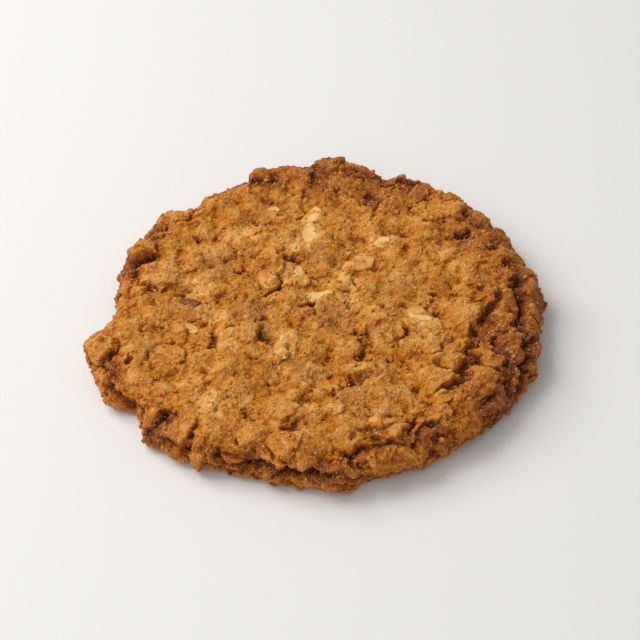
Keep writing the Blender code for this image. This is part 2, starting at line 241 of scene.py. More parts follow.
# How far the edge of a plate stands out over what is beside it
OVERHANG = 0.0006

# Most placed plates stand proud on their front right side: range of bearings in degrees
HIGH_SIDES = (-100, 50)

# Crevices: width on the high and on the low side, and the depth of the ones that never break off
CREVICE_WIDTHS = (0.0020, 0.0042)
DEEPEST_CREVICE = 0.0060

# Waves that a crevice follows, and sizes of the patterns that break up crevices and ditches
CREVICE_WAVES = (0.006, 0.0016)
CREVICE_BREAKS = 0.009
DITCH_BREAKS = (0.012, 0.005)

# Band before the widest level where the crags grow rougher, and how much rougher
RIM_BAND = 0.0260
RIM_ROUGHNESS = 0.8

# Past the widest level the crags fade towards the base, and the crust is darker and browner towards the
# base: where, and by how much
FADE_RUN = (0.012, 0.018)
FADE_SHARE = 0.8
UNDER_RUN = 0.008
UNDER_DARKENING = 0.8

# Crags and crumbs stay this far above the flat of the base
LOWEST = 0.0005

# Wandering of every edge: sizes of the waves and how far they carry it
WANDER = ((0.0110, 0.0036), (0.0050, 0.0018), (0.0024, 0.0009), (0.0012, 0.0004))

# Soft swells of the crust: size and rise
SWELLS = ((0.0280, 0.0026), (0.0130, 0.0020))

# Lumps of dough: how far apart, rise, and how much more they rise at the rim.
# Their edges wander by a share of their size.
LUMPS = (
    (0.0150, 0.0022, 0.4),
    (0.0085, 0.0015, 0.5),
    (0.0044, 0.0008, 0.8),
    (0.0024, 0.00045, 0.9),
    (0.0014, 0.00030, 0.6),
)
LUMP_BEND = 0.30

# Towards the rim the largest lumps are drawn out along it: how many sizes, and how far
DRAWN_OUT_SIZES = 3
DRAWN_OUT = 2.4

# Sizes of lump that have their own tone: place in the table above, and how much each counts
MOUND_LAYERS = {1: 1.0, 2: 0.8}

# Fine unevenness: size and rise
GRITS = ((0.0030, 0.00025), (0.0016, 0.00022), (0.0010, 0.00015))

# Pores: how far apart, share of places that have one, radius and depth
PORES = (0.0110, 0.20, 0.0006, 0.0022)

# Hollows and steep places are painted darker, as painted shade: reach of the blur in steps of the grid, and
# what counts as full
HOLLOW_SHADES = {"hollow": (5, 0.0009), "wide_hollow": (20, 0.0026)}
STEEP_BLUR = 14
STEEP_TURN = 0.35

# The base: size and depth of its pits, how far its edge is tucked up, and how brown it is
BASE_PIT_SIZE = 0.006
BASE_PIT_DEPTH = 0.0006
BASE_TUCK = 0.0003
BASE_BROWNING = 0.6

# Edges of the patches below: size and reach of their waves, and where each patch fades, in radii
PATCH_WAVES = ((0.009, 0.006), (0.004, 0.003))
PATCH_FADE = (0.3, 1.2)

# Patches of paler, yellower dough and of dull straw-coloured dough: x, y and radius, in millimetres
PALE_PATCHES = np.array((
    (-5, 52, 10),
    (-4, 64, 8),
    (-14, 40, 8),
    (-41, 51, 10),
    (-64, 7, 10),
    (-72, 11, 7),
    (-26, 10, 9),
    (-12, 20, 8),
    (13, 27, 8),
    (14, 14, 9),
    (18, 2, 6),
    (-15, -32, 8),
    (-19, -44, 7),
    (-52, -16, 6),
    (-46, -39, 5),
    (56, -17, 10),
    (60, -32, 8),
    (36, 45, 8),
    (70, 33, 6),
    (-53, -82, 10),
    (-8, -82, 6),
    (30, -88, 7),
)) / 1000
DULL_PATCHES = np.array((
    (-36, -8, 11),
    (-27, -27, 9),
    (11, -12, 11),
    (28, -24, 9),
    (-10, -55, 10),
    (0, 35, 9),
    (-55, 20, 10),
    (45, 10, 9),
    (-70, -12, 9),
    (20, -75, 9),
)) / 1000

# Parts of the rim painted darker: browner baking, and on the right side away from the key light also painted
# shade: x, y and radius, in millimetres
BAKED_AND_SHADED_PATCHES = np.array((
    (108, 10, 30),
    (106, -35, 34),
    (90, 50, 22),
    (100, -74, 28),
    (60, -98, 10),
    (10, -120, 8),
    (-30, -114, 8),
    (-82, -92, 14),
    (-108, -55, 8),
    (-108, 22, 16),
    (-92, 50, 14),
    (-35, 98, 16),
    (0, 100, 26),
    (40, 94, 24),
)) / 1000

# Almond slices: x, y, length, width, then bearing, lean to the side and lift in degrees,
# and how toasted from 0 to 1
ALMONDS = (
    (-0.005, 0.052, 0.017, 0.0080, 85, 4, 2, 0.05),
    (-0.003, 0.067, 0.014, 0.0090, 70, -4, 3, 0.10),
    (-0.010, 0.019, 0.009, 0.0060, 95, 6, 3, 0.15),
    (-0.025, 0.072, 0.0070, 0.0055, 10, 4, 3, 0.10),
    (0.036, 0.045, 0.0100, 0.0070, 30, 5, 3, 0.05),
    (0.024, 0.027, 0.016, 0.0095, 15, -5, 4, 0.85),
    (0.000, 0.001, 0.019, 0.0060, 17, 14, 0, 0.05),
    (0.014, 0.012, 0.011, 0.0070, 60, 8, 3, 0.50),
    (0.055, -0.016, 0.0140, 0.0055, -15, -4, 3, 0.10),
    (0.062, -0.020, 0.0090, 0.0075, 50, 5, 4, 0.55),
    (-0.066, -0.025, 0.010, 0.0060, -60, 8, 2, 0.35),
    (-0.090, -0.042, 0.017, 0.0060, 45, 8, 2, 0.85),
    (-0.053, -0.082, 0.0065, 0.0050, 40, 5, 3, 0.25),
    (-0.017, -0.035, 0.0080, 0.0055, 120, 5, 3, 0.20),
    (-0.018, -0.046, 0.0070, 0.0050, 20, -5, 3, 0.20),
    (0.068, -0.058, 0.0060, 0.0050, 0, 5, 3, 0.15),
)
ALMOND_THICKNESS = 0.0013

# A slice: points round and across it, how pointed one end is, and how curled, wavy and ragged it is
SLICE_AROUND = 32
SLICE_ACROSS = 10
SLICE_POINT = 0.35
SLICE_CURL = 0.12
SLICE_WAVE = 0.5
SLICE_RAGGED = 0.14

# How a slice lies: how deep it is sunk, how closely it follows the crust,
# and how much of the crust gives it its place and lies under it
SUNK = 0.0002
DRAPE_REACH = 0.0034
CORE_REACH = 0.0030
NEAR_REACH = 0.0120

# Slivers of almond skin: x, y, length, width, bearing and lift in degrees, and darkness from 0 to 1
SKINS = (
    (0.003, -0.020, 0.010, 0.0032, 50, 6, 0.35),
    (-0.068, -0.005, 0.013, 0.0060, -20, 2, 0.85),
    (-0.028, 0.077, 0.0060, 0.0020, 45, 5, 0.50),
    (0.034, -0.009, 0.0038, 0.0024, 30, 8, 0.20),
    (-0.004, -0.012, 0.0070, 0.0045, 10, 4, 0.15),
    (0.066, 0.045, 0.0045, 0.0030, 60, 5, 0.50),
    (-0.042, -0.122, 0.0060, 0.0022, -70, 0, 0.80),
)
SKIN_THICKNESS = 0.0026

# Loose crumbs: how many, smallest and largest size, how far they sit out, share kept for the rim,
# and levels of the ball that each is made from
CRUMB_SIZES = ((420, 0.0024, 0.0042, -0.12, 0.55, 2), (3600, 0.0009, 0.0020, 0.0, 0.40, 1))
CRUMB_SEED = 71
CRUMB_STRETCH = (0.6, 1.3)
CRUMB_RAGGED = 0.22

# Where the crust counts as rim for the crumbs: browning there, and lowest height
CRUMB_RIM = 0.3
CRUMB_LOWEST = 0.0015

# Colours of matt sugary dough and of glassy amber dough, from the palest to the most baked
SUGARY_COLOURS = (
    (0.00, (0.760, 0.430, 0.155, 1)),
    (0.25, (0.690, 0.310, 0.072, 1)),
    (0.45, (0.605, 0.220, 0.024, 1)),
    (0.62, (0.480, 0.132, 0.006, 1)),
    (0.82, (0.250, 0.043, 0.001, 1)),
    (1.00, (0.070, 0.010, 0.001, 1)),
)
GLASSY_COLOURS = (
    (0.00, (0.740, 0.380, 0.064, 1)),
    (0.25, (0.640, 0.270, 0.014, 1)),
    (0.45, (0.520, 0.168, 0.001, 1)),
    (0.62, (0.340, 0.078, 0.000, 1)),
    (0.82, (0.160, 0.024, 0.000, 1)),
    (1.00, (0.045, 0.006, 0.000, 1)),
)

# Where each kind of dough starts in its row of colours
SUGARY_BASE = -0.215
GLASSY_BASE = -0.255
CRUMB_BASE = -0.12

# Other colours of the dough
YELLOW = (0.870, 0.475, 0.130, 1)
STRAW = (0.480, 0.208, 0.052, 1)
# Pale specks that stand for glints: painted highlight
GLINT_COLOUR = (0.950, 0.740, 0.420, 1)
RIM_TAN = (0.620, 0.235, 0.052, 1)
# Grey-brown of the darker rim patches, partly painted shade
RIM_BROWN_SHADE = (0.330, 0.125, 0.030, 1)
# Dark caramel-brown in the creases: painted shade
CREASE_SHADE = (0.170, 0.034, 0.002, 1)
# Near black in the deepest hollows: painted shade
PIT_SHADE = (0.050, 0.009, 0.001, 1)

# Colours of the almond and its skin
CREAM = (0.790, 0.550, 0.220, 1)
HONEY = (0.740, 0.390, 0.090, 1)
GOLD = (0.620, 0.260, 0.035, 1)
TOAST = (0.520, 0.190, 0.030, 1)
SKIN = (0.420, 0.100, 0.018, 1)
DARK_SKIN = (0.130, 0.032, 0.007, 1)
ORANGE = (0.500, 0.140, 0.010, 1)

# Fine bumps of the dough: size and height of the grain and of the pimples
GRAIN = (0.0016, 0.0012)
PIMPLES = (0.0009, 0.0007)

# Light passes a little way through the dough: how much, how far, and how far each colour goes
SOFTNESS = 0.75
SOFT_REACH = 0.0020
SOFT_RADIUS = (1.0, 0.38, 0.10)


def ramp(value, low, high):
    """Smooth step from 0 at low to 1 at high."""
    share = np.clip((value - low) / (high - low), 0, 1)
    return share * share * (3 - 2 * share)


def hashed(column, row, layer):
    """A fixed random number from 0 to 1 for each cell of a grid."""
    mixed = column * 73856093 ^ row * 19349663 ^ layer * 83492791
    mixed = (mixed ^ (mixed >> 13)) * 1274126177 & 0x7FFFFFFF
    mixed = (mixed ^ (mixed >> 16)) * 668265263 & 0x7FFFFFFF
    return (mixed & 0xFFFFF) / 0xFFFFF


def waves(points, size, layer):
    """Soft noise between about -1 and 1 at each x, y."""
    scaled = points / size
    cell = np.floor(scaled)
    x, y = (scaled - cell).T
    column, row = cell.astype(np.int64).T
    right = x**3 * (x * (x * 6 - 15) + 10)
    up = y**3 * (y * (y * 6 - 15) + 10)
    total = np.zeros(len(points))
    for a, across in ((0, 1 - right), (1, right)):
        for b, along in ((0, 1 - up), (1, up)):
            turn = 2 * math.pi * hashed(column + a, row + b, layer)
            total += across * along * (np.cos(turn) * (x - a) + np.sin(turn) * (y - b))
    return 1.5 * total


def bent(points, size, reach, layer):
    """Points carried about by soft noise of one size."""
    moved = points.copy()
    moved[:, 0] += reach * waves(points, size, layer)
    moved[:, 1] += reach * waves(points, size, layer + 1)
    return moved


def wandered(points, table, layer):
    """Points carried about by soft noise of several sizes, one after another."""
    for number, (size, reach) in enumerate(table):
        points = bent(points, size, reach, layer + 2 * number)
    return points


def lumps(points, size, layer):
    """Scattered round lumps about one size apart: height at each point, and a random number for the lump."""
    scaled = points / size
    column, row = np.floor(scaled).astype(np.int64).T
    tallest, number = np.zeros((2, len(points)))
    for a in (-1, 0, 1):
        for b in (-1, 0, 1):
            x = column + a + hashed(column + a, row + b, layer)
            y = row + b + hashed(column + a, row + b, layer + 1)
            width = 0.35 + 0.6 * hashed(column + a, row + b, layer + 2)
            share = np.hypot(scaled[:, 0] - x, scaled[:, 1] - y) / width
            height = width * np.clip(1 - share**2, 0, 1) ** 1.3
            number = np.where(height > tallest, hashed(column + a, row + b, layer + 3), number)
            tallest = np.maximum(tallest, height)
    return tallest, number


def outline_radius(angle):
    """Radius of the widest level of the cookie at each bearing, in radians."""
    radius = np.full_like(angle, MEAN_RADIUS)
    for count, along_cosine, along_sine in OUTLINE_WAVES:
        radius += along_cosine * np.cos(count * angle) + along_sine * np.sin(count * angle)
    for bearing, half_width, height in OUTLINE_BUMPS:
        turn = np.angle(np.exp(1j * (angle - math.radians(bearing))))
        radius += height * np.exp(-((turn / math.radians(half_width)) ** 2))
    return radius


def shoulder_length():
    """Length of the curve from the flat of the top down to the widest level."""
    drop = SHOULDER_HEIGHT - EQUATOR_HEIGHT
    return math.pi / 2 * math.sqrt((SHOULDER_WIDTH**2 + drop**2) / 2)


def under_length():
    """Length of the curve from the widest level in to the edge of the base."""
    return math.hypot(UNDERCUT, EQUATOR_HEIGHT)


def side_section(radius, run):
    """Place and outward direction at a run along the section, from the middle of the top.

    Returns distance from the axis, height, and the two parts of the normal.
    """
    flat = radius - SHOULDER_WIDTH
    top_share = np.clip(run / flat, 0, 1)
    turn = np.clip((run - flat) / shoulder_length(), 0, 1) * math.pi / 2
    under = np.clip((run - flat - shoulder_length()) / under_length(), 0, 1)
    drop = SHOULDER_HEIGHT - EQUATOR_HEIGHT
    rise = (SHOULDER_HEIGHT - CENTRE_HEIGHT) * top_share**2
    reach = flat * top_share + SHOULDER_WIDTH * np.sin(turn) - UNDERCUT * under**1.6
    height = CENTRE_HEIGHT + rise - drop * (1 - np.cos(turn)) - EQUATOR_HEIGHT * under
    outward = np.sin(turn)
    upward = np.cos(turn) - 0.7 * under
    size = np.hypot(outward, upward)
    return reach, height, outward / size, upward / size


def all_plates():
    """Every plate: the placed ones, then seeded small ones wherever there is room, largest first.

    Each is x, y, radius, rise, softness of its low side, bearing of its high side and strength of its ditch.
    """
    draw = random.Random(FILL_SEED)
    plates = []
    for plate in PLATES:
        high_side = math.radians(draw.uniform(*HIGH_SIDES))
        plates.append((*plate, PLACED_EDGE, high_side, 1.0))
    reach = MEAN_RADIUS + shoulder_length()
    for attempt in range(FILL_TRIES):
        share = attempt / FILL_TRIES
        size = FILL_RADII[0] + (FILL_RADII[1] - FILL_RADII[0]) * share
        bearing = draw.uniform(0, 2 * math.pi)
        distance = reach * math.sqrt(draw.random())
        x = distance * math.cos(bearing)
        y = distance * math.sin(bearing)
        rise = draw.uniform(0.3, 1) * FILL_RISE
        edge = draw.uniform(*EDGE_SHARE)
        high_side = draw.uniform(0, 2 * math.pi)
        ditch = draw.uniform(0, 1) ** 1.5
        if all(math.hypot(x - a, y - b) > FILL_SPACING * (size + c) for a, b, c, *_ in plates):
            plates.append((x, y, size, rise, edge, high_side, ditch))
    return plates


def plate_relief(points, plates):
    """Height of the plates, strength of the ditches, and sideways shift at the edges.

    Also how far each point is in a plate, and the tone of that plate.
    """
    level, ditch, inside, tone = np.zeros((4, len(points)))
    shift = np.zeros((len(points), 2))
    for number, (x, y, radius, rise, edge, high_side, strength) in enumerate(plates):
        near = np.nonzero(np.abs(points - (x, y)).max(axis=1) < 1.4 * radius)[0]
        offset = points[near] - (x, y)
        away = np.hypot(*offset.T) + 1e-9
        share = away / radius
        out = offset / away[:, None]
        facing = out @ (math.cos(high_side), math.sin(high_side))
        soft = EDGE_SHARE[0] + (edge - EDGE_SHARE[0]) * (0.5 - 0.5 * facing)
        top = 1 - ramp(share, 1 - soft, 1.0)
        height = rise * top * (0.6 + 0.4 * share * facing) + PLATE_CROWN * radius * (1 - ramp(share, 0, 1))
        foot = strength * (0.5 + 0.5 * facing) * np.exp(-(((share - DITCH_PLACE) / DITCH_WIDTH) ** 2))
        push = top * ramp(share, 0.5, 0.9) * (0.5 + 0.5 * facing) * min(rise / FILL_RISE, 1.5)
        taller = height > level[near]
        higher = near[taller]
        level[higher] = height[taller]
        shift[higher] = (out * push[:, None])[taller] * OVERHANG
        tone[higher] = hashed(number, 0, 500)
        inside[near] = np.maximum(inside[near], top)
        ditch[near] = np.maximum(ditch[near], foot)
    return level, ditch * (1 - inside), shift, inside, tone


def distance_to_path(points, path):
    """Distance of each point from a line through a few others, and whether it lies on the right of it."""
    nearest = np.full(len(points), np.inf)
    right = np.zeros(len(points), dtype=bool)
    for start, end in zip(path[:-1], path[1:]):
        start, end = np.array(start), np.array(end)
        along = end - start
        offset = points - start
        share = np.clip(offset @ along / (along @ along), 0, 1)
        away = np.hypot(*(offset - share[:, None] * along).T)
        on_right = along[0] * offset[:, 1] < along[1] * offset[:, 0]
        right = np.where(away < nearest, on_right, right)
        nearest = np.minimum(nearest, away)
    return nearest, right


def bent_lumps(points, size, layer):
    """Lumps of one size with wandering edges."""
    reach = LUMP_BEND * size
    moved = bent(bent(points, size, reach, 20 + 4 * layer), 0.4 * size, 0.4 * reach, 60 + 4 * layer)
    return lumps(moved, size, 100 + 4 * layer)


def lump_relief(points, rim):
    """Lumps of dough of several sizes, drawn out along the rim, with fine unevenness.

    Also how much of a lump is at each point, and its tone.
    """
    height, mound, tone = np.zeros((3, len(points)))
    run = np.hypot(*points.T) + 1e-9
    drawn_out = points * (1 - MEAN_RADIUS * (1 - 1 / DRAWN_OUT) / run)[:, None]
    for layer, (size, rise, more) in enumerate(LUMPS):
        tallest, number = bent_lumps(points, size, layer)
        if layer < DRAWN_OUT_SIZES:
            long_tallest, long_number = bent_lumps(drawn_out, size, layer)
            tallest += rim * (long_tallest - tallest)
            number += rim * (long_number - number)
        height += rise * (1 + more * rim) * (tallest - 0.3)
        if layer in MOUND_LAYERS:
            mound = np.maximum(mound, tallest * MOUND_LAYERS[layer])
            tone += 0.5 * (number - 0.5)
    for layer, (size, rise) in enumerate(GRITS):
        height += rise * waves(points, size, 200 + layer)
    return height, mound, tone


def pore_relief(points):
    """Small round pores in some of the places."""
    apart, share, radius, depth = PORES
    column, row = np.floor(points / apart).astype(np.int64).T
    x = (column + 0.15 + 0.7 * hashed(column, row, 301)) * apart
    y = (row + 0.15 + 0.7 * hashed(column, row, 302)) * apart
    away = np.hypot(points[:, 0] - x, points[:, 1] - y)
    present = hashed(column, row, 303) < share
    return present * depth * np.exp(-((away / radius) ** 2))


def patches(points, table):
    """How far each point is in one of some round patches."""
    inside = np.zeros(len(points))
    for x, y, radius in table:
        share = np.hypot(*(points - (x, y)).T) / radius
        inside = np.maximum(inside, 1 - ramp(share, *PATCH_FADE))
    return inside


def crevice_relief(points, moved):
    """Depth of the crevices, and how far each point is in the crease of one, where the colour is painted
    darker as shade.
    """
    ragged = bent(moved, *CREVICE_WAVES, 340)
    broken = ramp(waves(points, CREVICE_BREAKS, 342), -0.3, 0.2)
    deep, crease = np.zeros((2, len(points)))
    for depth, *path in CREVICES:
        away, right = distance_to_path(ragged, path)
        away /= np.where(right, CREVICE_WIDTHS[1], CREVICE_WIDTHS[0])
        share = depth / DEEPEST_CREVICE
        whole = share + (1 - share) * broken
        deep += depth * whole * np.exp(-(away**2))
        crease = np.maximum(crease, (0.3 + 0.7 * share) * whole * np.exp(-((away * 1.3) ** 2)))
    return deep, crease


def relief(points, rim, plates):
    """Height of the crags over the plain form, sideways shift, and what the material needs to know.

    rim is 0 on the top and 1 down the side.
    """
    moved = wandered(points, WANDER, 0)
    plate, ditch, shift, inside, tone = plate_relief(moved, plates)
    patchy = waves(points, DITCH_BREAKS[0], 301) + 0.5 * waves(points, DITCH_BREAKS[1], 302)
    ditch *= ramp(patchy, -0.2, 0.4)
    height = plate * (0.8 + 0.7 * rim) - DITCH_DEPTH * ditch * (1 + RIM_ROUGHNESS * rim)
    for layer, (size, rise) in enumerate(SWELLS):
        height += rise * waves(points, size, 310 + layer)
    crevices, crease = crevice_relief(points, moved)
    height -= crevices
    for x, y, radius, depth in PITS:
        height -= depth * np.exp(-(np.hypot(*(moved - (x, y)).T) / radius) ** 2)
    uneven = 1 - 0.3 * inside + 0.5 * waves(points, 0.011, 320)
    lumpy, mound, mound_tone = lump_relief(points, rim)
    height += lumpy * np.clip(uneven, 0.4, 1.6)
    height -= pore_relief(moved)
    spread = wandered(points, PATCH_WAVES, 330)
    fields = {
        "ditch": ditch,
        "mound": ramp(mound + 0.25 * inside, 0.20, 0.55),
        "tone": mound_tone + 0.4 * inside * (tone - 0.5),
        "pale": patches(spread, PALE_PATCHES),
        "dull": patches(spread, DULL_PATCHES),
        "baked": patches(spread, BAKED_AND_SHADED_PATCHES),
        "crease": crease,
    }
    return height, shift, fields


def disc_map(u, v):
    """Places on a disc of points of a square: smooth in the middle, with even rings at the edge."""
    wide = np.abs(u) >= np.abs(v)
    major = np.where(wide, u, v)
    minor = np.where(wide, v, u)
    ratio = np.divide(minor, major, out=np.zeros_like(u), where=major != 0)
    turn = np.where(wide, ratio, 2 - ratio) * math.pi / 4
    share = np.abs(major) ** EDGE_BLEND
    x = (1 - share) * u * np.sqrt(1 - v**2 / 2) + share * major * np.cos(turn)
    y = (1 - share) * v * np.sqrt(1 - u**2 / 2) + share * major * np.sin(turn)
    return np.hypot(x, y), np.arctan2(y, x)


def crust_points(ring, angle, plates):
    """Places in space of points of the crust, given by ring share and bearing.

    Also the height of the crags, and what the material needs to know.
    """
    radius = outline_radius(angle)
    run = ring * (radius - SHOULDER_WIDTH + shoulder_length() + under_length())
    reach, height, outward, upward = side_section(radius, run)
    flat_points = np.column_stack([run * np.cos(angle), run * np.sin(angle)])
    rim = ramp(run, radius - RIM_BAND, radius)
    crags, shift, fields = relief(flat_points, rim, plates)
    fields["laid_flat"] = flat_points
    # Browner at the rim, and darker and browner again past the widest level towards the base
    fields["browning"] = rim + UNDER_DARKENING * ramp(run, radius, radius + UNDER_RUN)
    fade = 1 - FADE_SHARE * ramp(run, radius + FADE_RUN[0], radius + FADE_RUN[1])
    crags *= fade
    outwards = np.column_stack([np.cos(angle), np.sin(angle)])
    around = np.column_stack([-np.sin(angle), np.cos(angle)])
    shift_out = (shift * outwards).sum(axis=1) * fade
    shift_round = (shift * around).sum(axis=1) * fade
    reach = reach + crags * outward + shift_out * upward
    height = np.maximum(height + crags * upward - shift_out * outward, LOWEST)
    height[np.isclose(ring, 1)] = 0
    flat = outwards * reach[:, None] + around * shift_round[:, None]
    return np.column_stack([flat, height]), crags, fields


def square_grid(count):
    """Points of a square grid from -1 to 1, as two arrays of count + 1 rows."""
    line = np.linspace(-1, 1, count + 1)
    return np.meshgrid(line, line, indexing="ij")


def grid_faces(rows, columns):
    """Four corners of each face of a grid of points."""
    index = np.arange(rows * columns).reshape(rows, columns)
    return np.stack([index[:-1, :-1], index[1:, :-1], index[1:, 1:], index[:-1, 1:]], axis=-1).reshape(-1, 4)


def grid_normals(places):
    """Outward direction at each point of a grid of places."""
    down = np.gradient(places, axis=0)
    across = np.gradient(places, axis=1)
    normal = np.cross(down, across)
    return normal / (np.linalg.norm(normal, axis=-1, keepdims=True) + 1e-12)


def blurred(field, reach):
    """A grid of values, each made the mean of its square neighbourhood, twice over."""
    width = 2 * reach + 1
    for _ in range(2):
        for axis in (0, 1):
            ends = [(reach + 1, reach) if a == axis else (0, 0) for a in (0, 1)]
            total = np.cumsum(np.pad(field, ends, mode="edge"), axis=axis)
            high = np.take(total, range(width, total.shape[axis]), axis=axis)
            low = np.take(total, range(total.shape[axis] - width), axis=axis)
            field = (high - low) / width
    return field


def add_attribute(mesh, name, values):
    """Keep one number for each vertex, for the material to read."""
    layer = mesh.attributes.new(name, "FLOAT", "POINT")
    layer.data.foreach_set("value", np.asarray(values, dtype=np.float32).ravel())


def grid_mesh(name, places, normals):
    """A smooth mesh from a grid of places, lit by the given normals."""
    rows, columns = places.shape[:2]
    faces = grid_faces(rows, columns)
    mesh = bpy.data.meshes.new(name)
    mesh.vertices.add(rows * columns)
    mesh.vertices.foreach_set("co", places.ravel())
    mesh.loops.add(faces.size)
    mesh.loops.foreach_set("vertex_index", faces.ravel())
    mesh.polygons.add(len(faces))
    mesh.polygons.foreach_set("loop_start", np.arange(0, faces.size, 4))
    mesh.update(calc_edges=True)
    mesh.shade_smooth()
    mesh.normals_split_custom_set_from_vertices(normals.reshape(-1, 3).tolist())
    return mesh


def crust_shape(plates):
    """Places and normals of the crust on a square grid, and all that its material needs to know."""
    u, v = square_grid(CRUST_GRID)
    ring, angle = disc_map(u.ravel(), v.ravel())
    places, crags, crust = crust_points(ring, angle, plates)
    low, high = places.min(axis=0), places.max(axis=0)
    crust["middle"] = (low + high) / 2 * (1, 1, 0)
    places = (places - crust["middle"]).reshape(*u.shape, 3)
    normals = grid_normals(places)
    crust["places"] = places.reshape(-1, 3)
    crust["normals"] = normals.reshape(-1, 3)
    crags = crags.reshape(u.shape)
    # Fields of hollows and steep sides, used to paint shade into the colour
    for name, (reach, full) in HOLLOW_SHADES.items():
        crust[name] = np.clip((blurred(crags, reach) - crags) / full, -1, 1)
    plain = np.stack([blurred(normals[..., k], STEEP_BLUR) for k in range(3)], axis=-1)
    plain /= np.linalg.norm(plain, axis=-1, keepdims=True)
    crust["steep"] = np.clip((1 - (normals * plain).sum(axis=-1)) / STEEP_TURN, 0, 1)
    return crust


def make_crust(crust):
    """The crust in square tiles that meet without a seam."""
    shape = (CRUST_GRID + 1, CRUST_GRID + 1)
    places = crust["places"].reshape(*shape, 3)
    normals = crust["normals"].reshape(*shape, 3)
    step = CRUST_GRID // CRUST_TILES
    tiles = []
    for row in range(0, CRUST_GRID, step):
        for column in range(0, CRUST_GRID, step):
            here = (slice(row, row + step + 1), slice(column, column + step + 1))
            mesh = grid_mesh("crust", places[here], normals[here])
            for name in CRUST_FIELDS:
                add_attribute(mesh, name, crust[name].reshape(shape)[here])
            tiles.append(add_object(f"crust_{len(tiles) + 1}", mesh))
    return tiles


def make_base(crust):
    """The flat underside, a little pitted, with its edge tucked up inside the crust."""
    u, v = square_grid(BASE_GRID)
    ring, angle = disc_map(u.ravel(), v.ravel())
    reach = ring * (outline_radius(angle) - UNDERCUT)
    flat = np.column_stack([np.cos(angle), np.sin(angle)]) * reach[:, None]
    inner = ramp(1 - ring, 0, 0.05)
    pitted = BASE_PIT_DEPTH * np.clip(waves(flat, BASE_PIT_SIZE, 400) + 0.4, 0, 1) * inner
    tucked = BASE_TUCK * (1 - ramp(1 - ring, 0, 0.01))
    places = np.column_stack([flat, pitted + tucked]) - crust["middle"]
    places = places.reshape(*u.shape, 3).transpose(1, 0, 2)
    mesh = grid_mesh("base", places, grid_normals(places))
    add_attribute(mesh, "browning", np.full(u.size, BASE_BROWNING))
    return add_object("base", mesh)


def surface_at(crust, x, y):
    """Place and outward direction of the crust at a table's x, y, and the points of the crust near it."""
    away = np.hypot(*(crust["laid_flat"] - (x, y)).T)
    core = away < CORE_REACH
    facing = crust["normals"][core].mean(axis=0)
    facing /= np.linalg.norm(facing)
    return crust["places"][core].mean(axis=0), facing, crust["places"][away < NEAR_REACH]


def draped(points, place, facing, crust_near):
    """Points laid in a plane, each moved out or in to follow the crust under it, and sunk a little."""
    heights = (crust_near - place) @ facing
    flat_near = crust_near - heights[:, None] * facing
    level = (points - place) @ facing
    flat = points - level[:, None] * facing
    away = np.linalg.norm(flat[:, None] - flat_near[None], axis=2)
    weight = np.exp(-((away / DRAPE_REACH) ** 2)) + 1e-9
    follow = (weight * heights).sum(axis=1) / weight.sum(axis=1)
    return points + (follow - SUNK)[:, None] * facing


def slice_points(length, width, thickness, seed):
    """Points round and across a thin almond slice with one pointed end, and how near its edge each is."""
    turn = np.linspace(0, 2 * math.pi, SLICE_AROUND, endpoint=False)
    ring = np.sin(np.linspace(0, math.pi, SLICE_ACROSS + 1))
    level = -np.cos(np.linspace(0, math.pi, SLICE_ACROSS + 1))
    spread = np.maximum(ring, 0.02)[:, None] ** 0.35
    point = 1 - SLICE_POINT * np.clip(np.cos(turn), 0, 1) ** 3 * np.abs(np.sin(turn))
    x = spread * np.cos(turn) * length / 2
    y = spread * np.sin(turn) * point * width / 2
    z = level[:, None] * thickness / 2 * np.ones(SLICE_AROUND)
    flat = np.column_stack([x.ravel(), y.ravel()])
    wave = thickness * SLICE_WAVE * waves(flat, 0.35 * length, seed)
    z = z.ravel() + wave + SLICE_CURL * width * (flat[:, 0] / length * 2) ** 2
    flat *= 1 + SLICE_RAGGED * waves(flat, 0.3 * length, seed + 1)[:, None]
    flat = bent(flat, 0.15 * length, 0.08 * width, seed + 2)
    edge = np.repeat(ramp(spread[:, 0], 0.75, 1.0), SLICE_AROUND)
    return np.column_stack([flat, z]), edge


def slice_faces():
    """Faces of a slice: a closed body made of rings of points, with a cap at each end."""
    index = np.arange((SLICE_ACROSS + 1) * SLICE_AROUND).reshape(-1, SLICE_AROUND)
    turned = np.roll(index, -1, axis=1)
    sides = np.stack([index[:-1], turned[:-1], turned[1:], index[1:]], axis=-1).reshape(-1, 4)
    return [*sides.tolist(), index[0, ::-1].tolist(), index[-1].tolist()]


def laid(points, place, facing, bearing, lean, lift):
    """Points turned to a bearing, leant, lifted at one end and set on the crust."""
    turn = Matrix.Rotation(math.radians(bearing), 3, "Z")
    turn = turn @ Matrix.Rotation(math.radians(lean), 3, "X") @ Matrix.Rotation(math.radians(-lift), 3, "Y")
    upright = Vector((0, 0, 1)).rotation_difference(Vector(facing)).to_matrix()
    return points @ np.array(upright @ turn).T + place


def make_toppings(name, rows, crust):
    """Thin slices set in the crust, as one piece; each row gives a slice's place, form and tone."""
    points, faces, tones, edges = [], [], [], []
    first = 0
    for number, (x, y, length, width, thickness, bearing, lean, lift, tone) in enumerate(rows):
        body, edge = slice_points(length, width, thickness, 500 + 4 * number)
        place, facing, near = surface_at(crust, x, y)
        points.append(draped(laid(body, place, facing, bearing, lean, lift), place, facing, near))
        faces += [[first + corner for corner in face] for face in slice_faces()]
        tones.append(np.full(len(body), tone))
        edges.append(edge)
        first += len(body)
    mesh = bpy.data.meshes.new(name)
    mesh.from_pydata(np.concatenate(points).tolist(), [], faces)
    mesh.shade_smooth()
    add_attribute(mesh, "tone", np.concatenate(tones))
    add_attribute(mesh, "edge", np.concatenate(edges))
    return add_object(name, mesh)


def ball_of_triangles(levels):
    """Points and faces of a round ball of triangles."""
    shape = bmesh.new()
    bmesh.ops.create_icosphere(shape, subdivisions=levels, radius=0.5)
    points = np.array([vertex.co[:] for vertex in shape.verts])
    faces = np.array([[vertex.index for vertex in face.verts] for face in shape.faces])
    shape.free()
    return points, faces


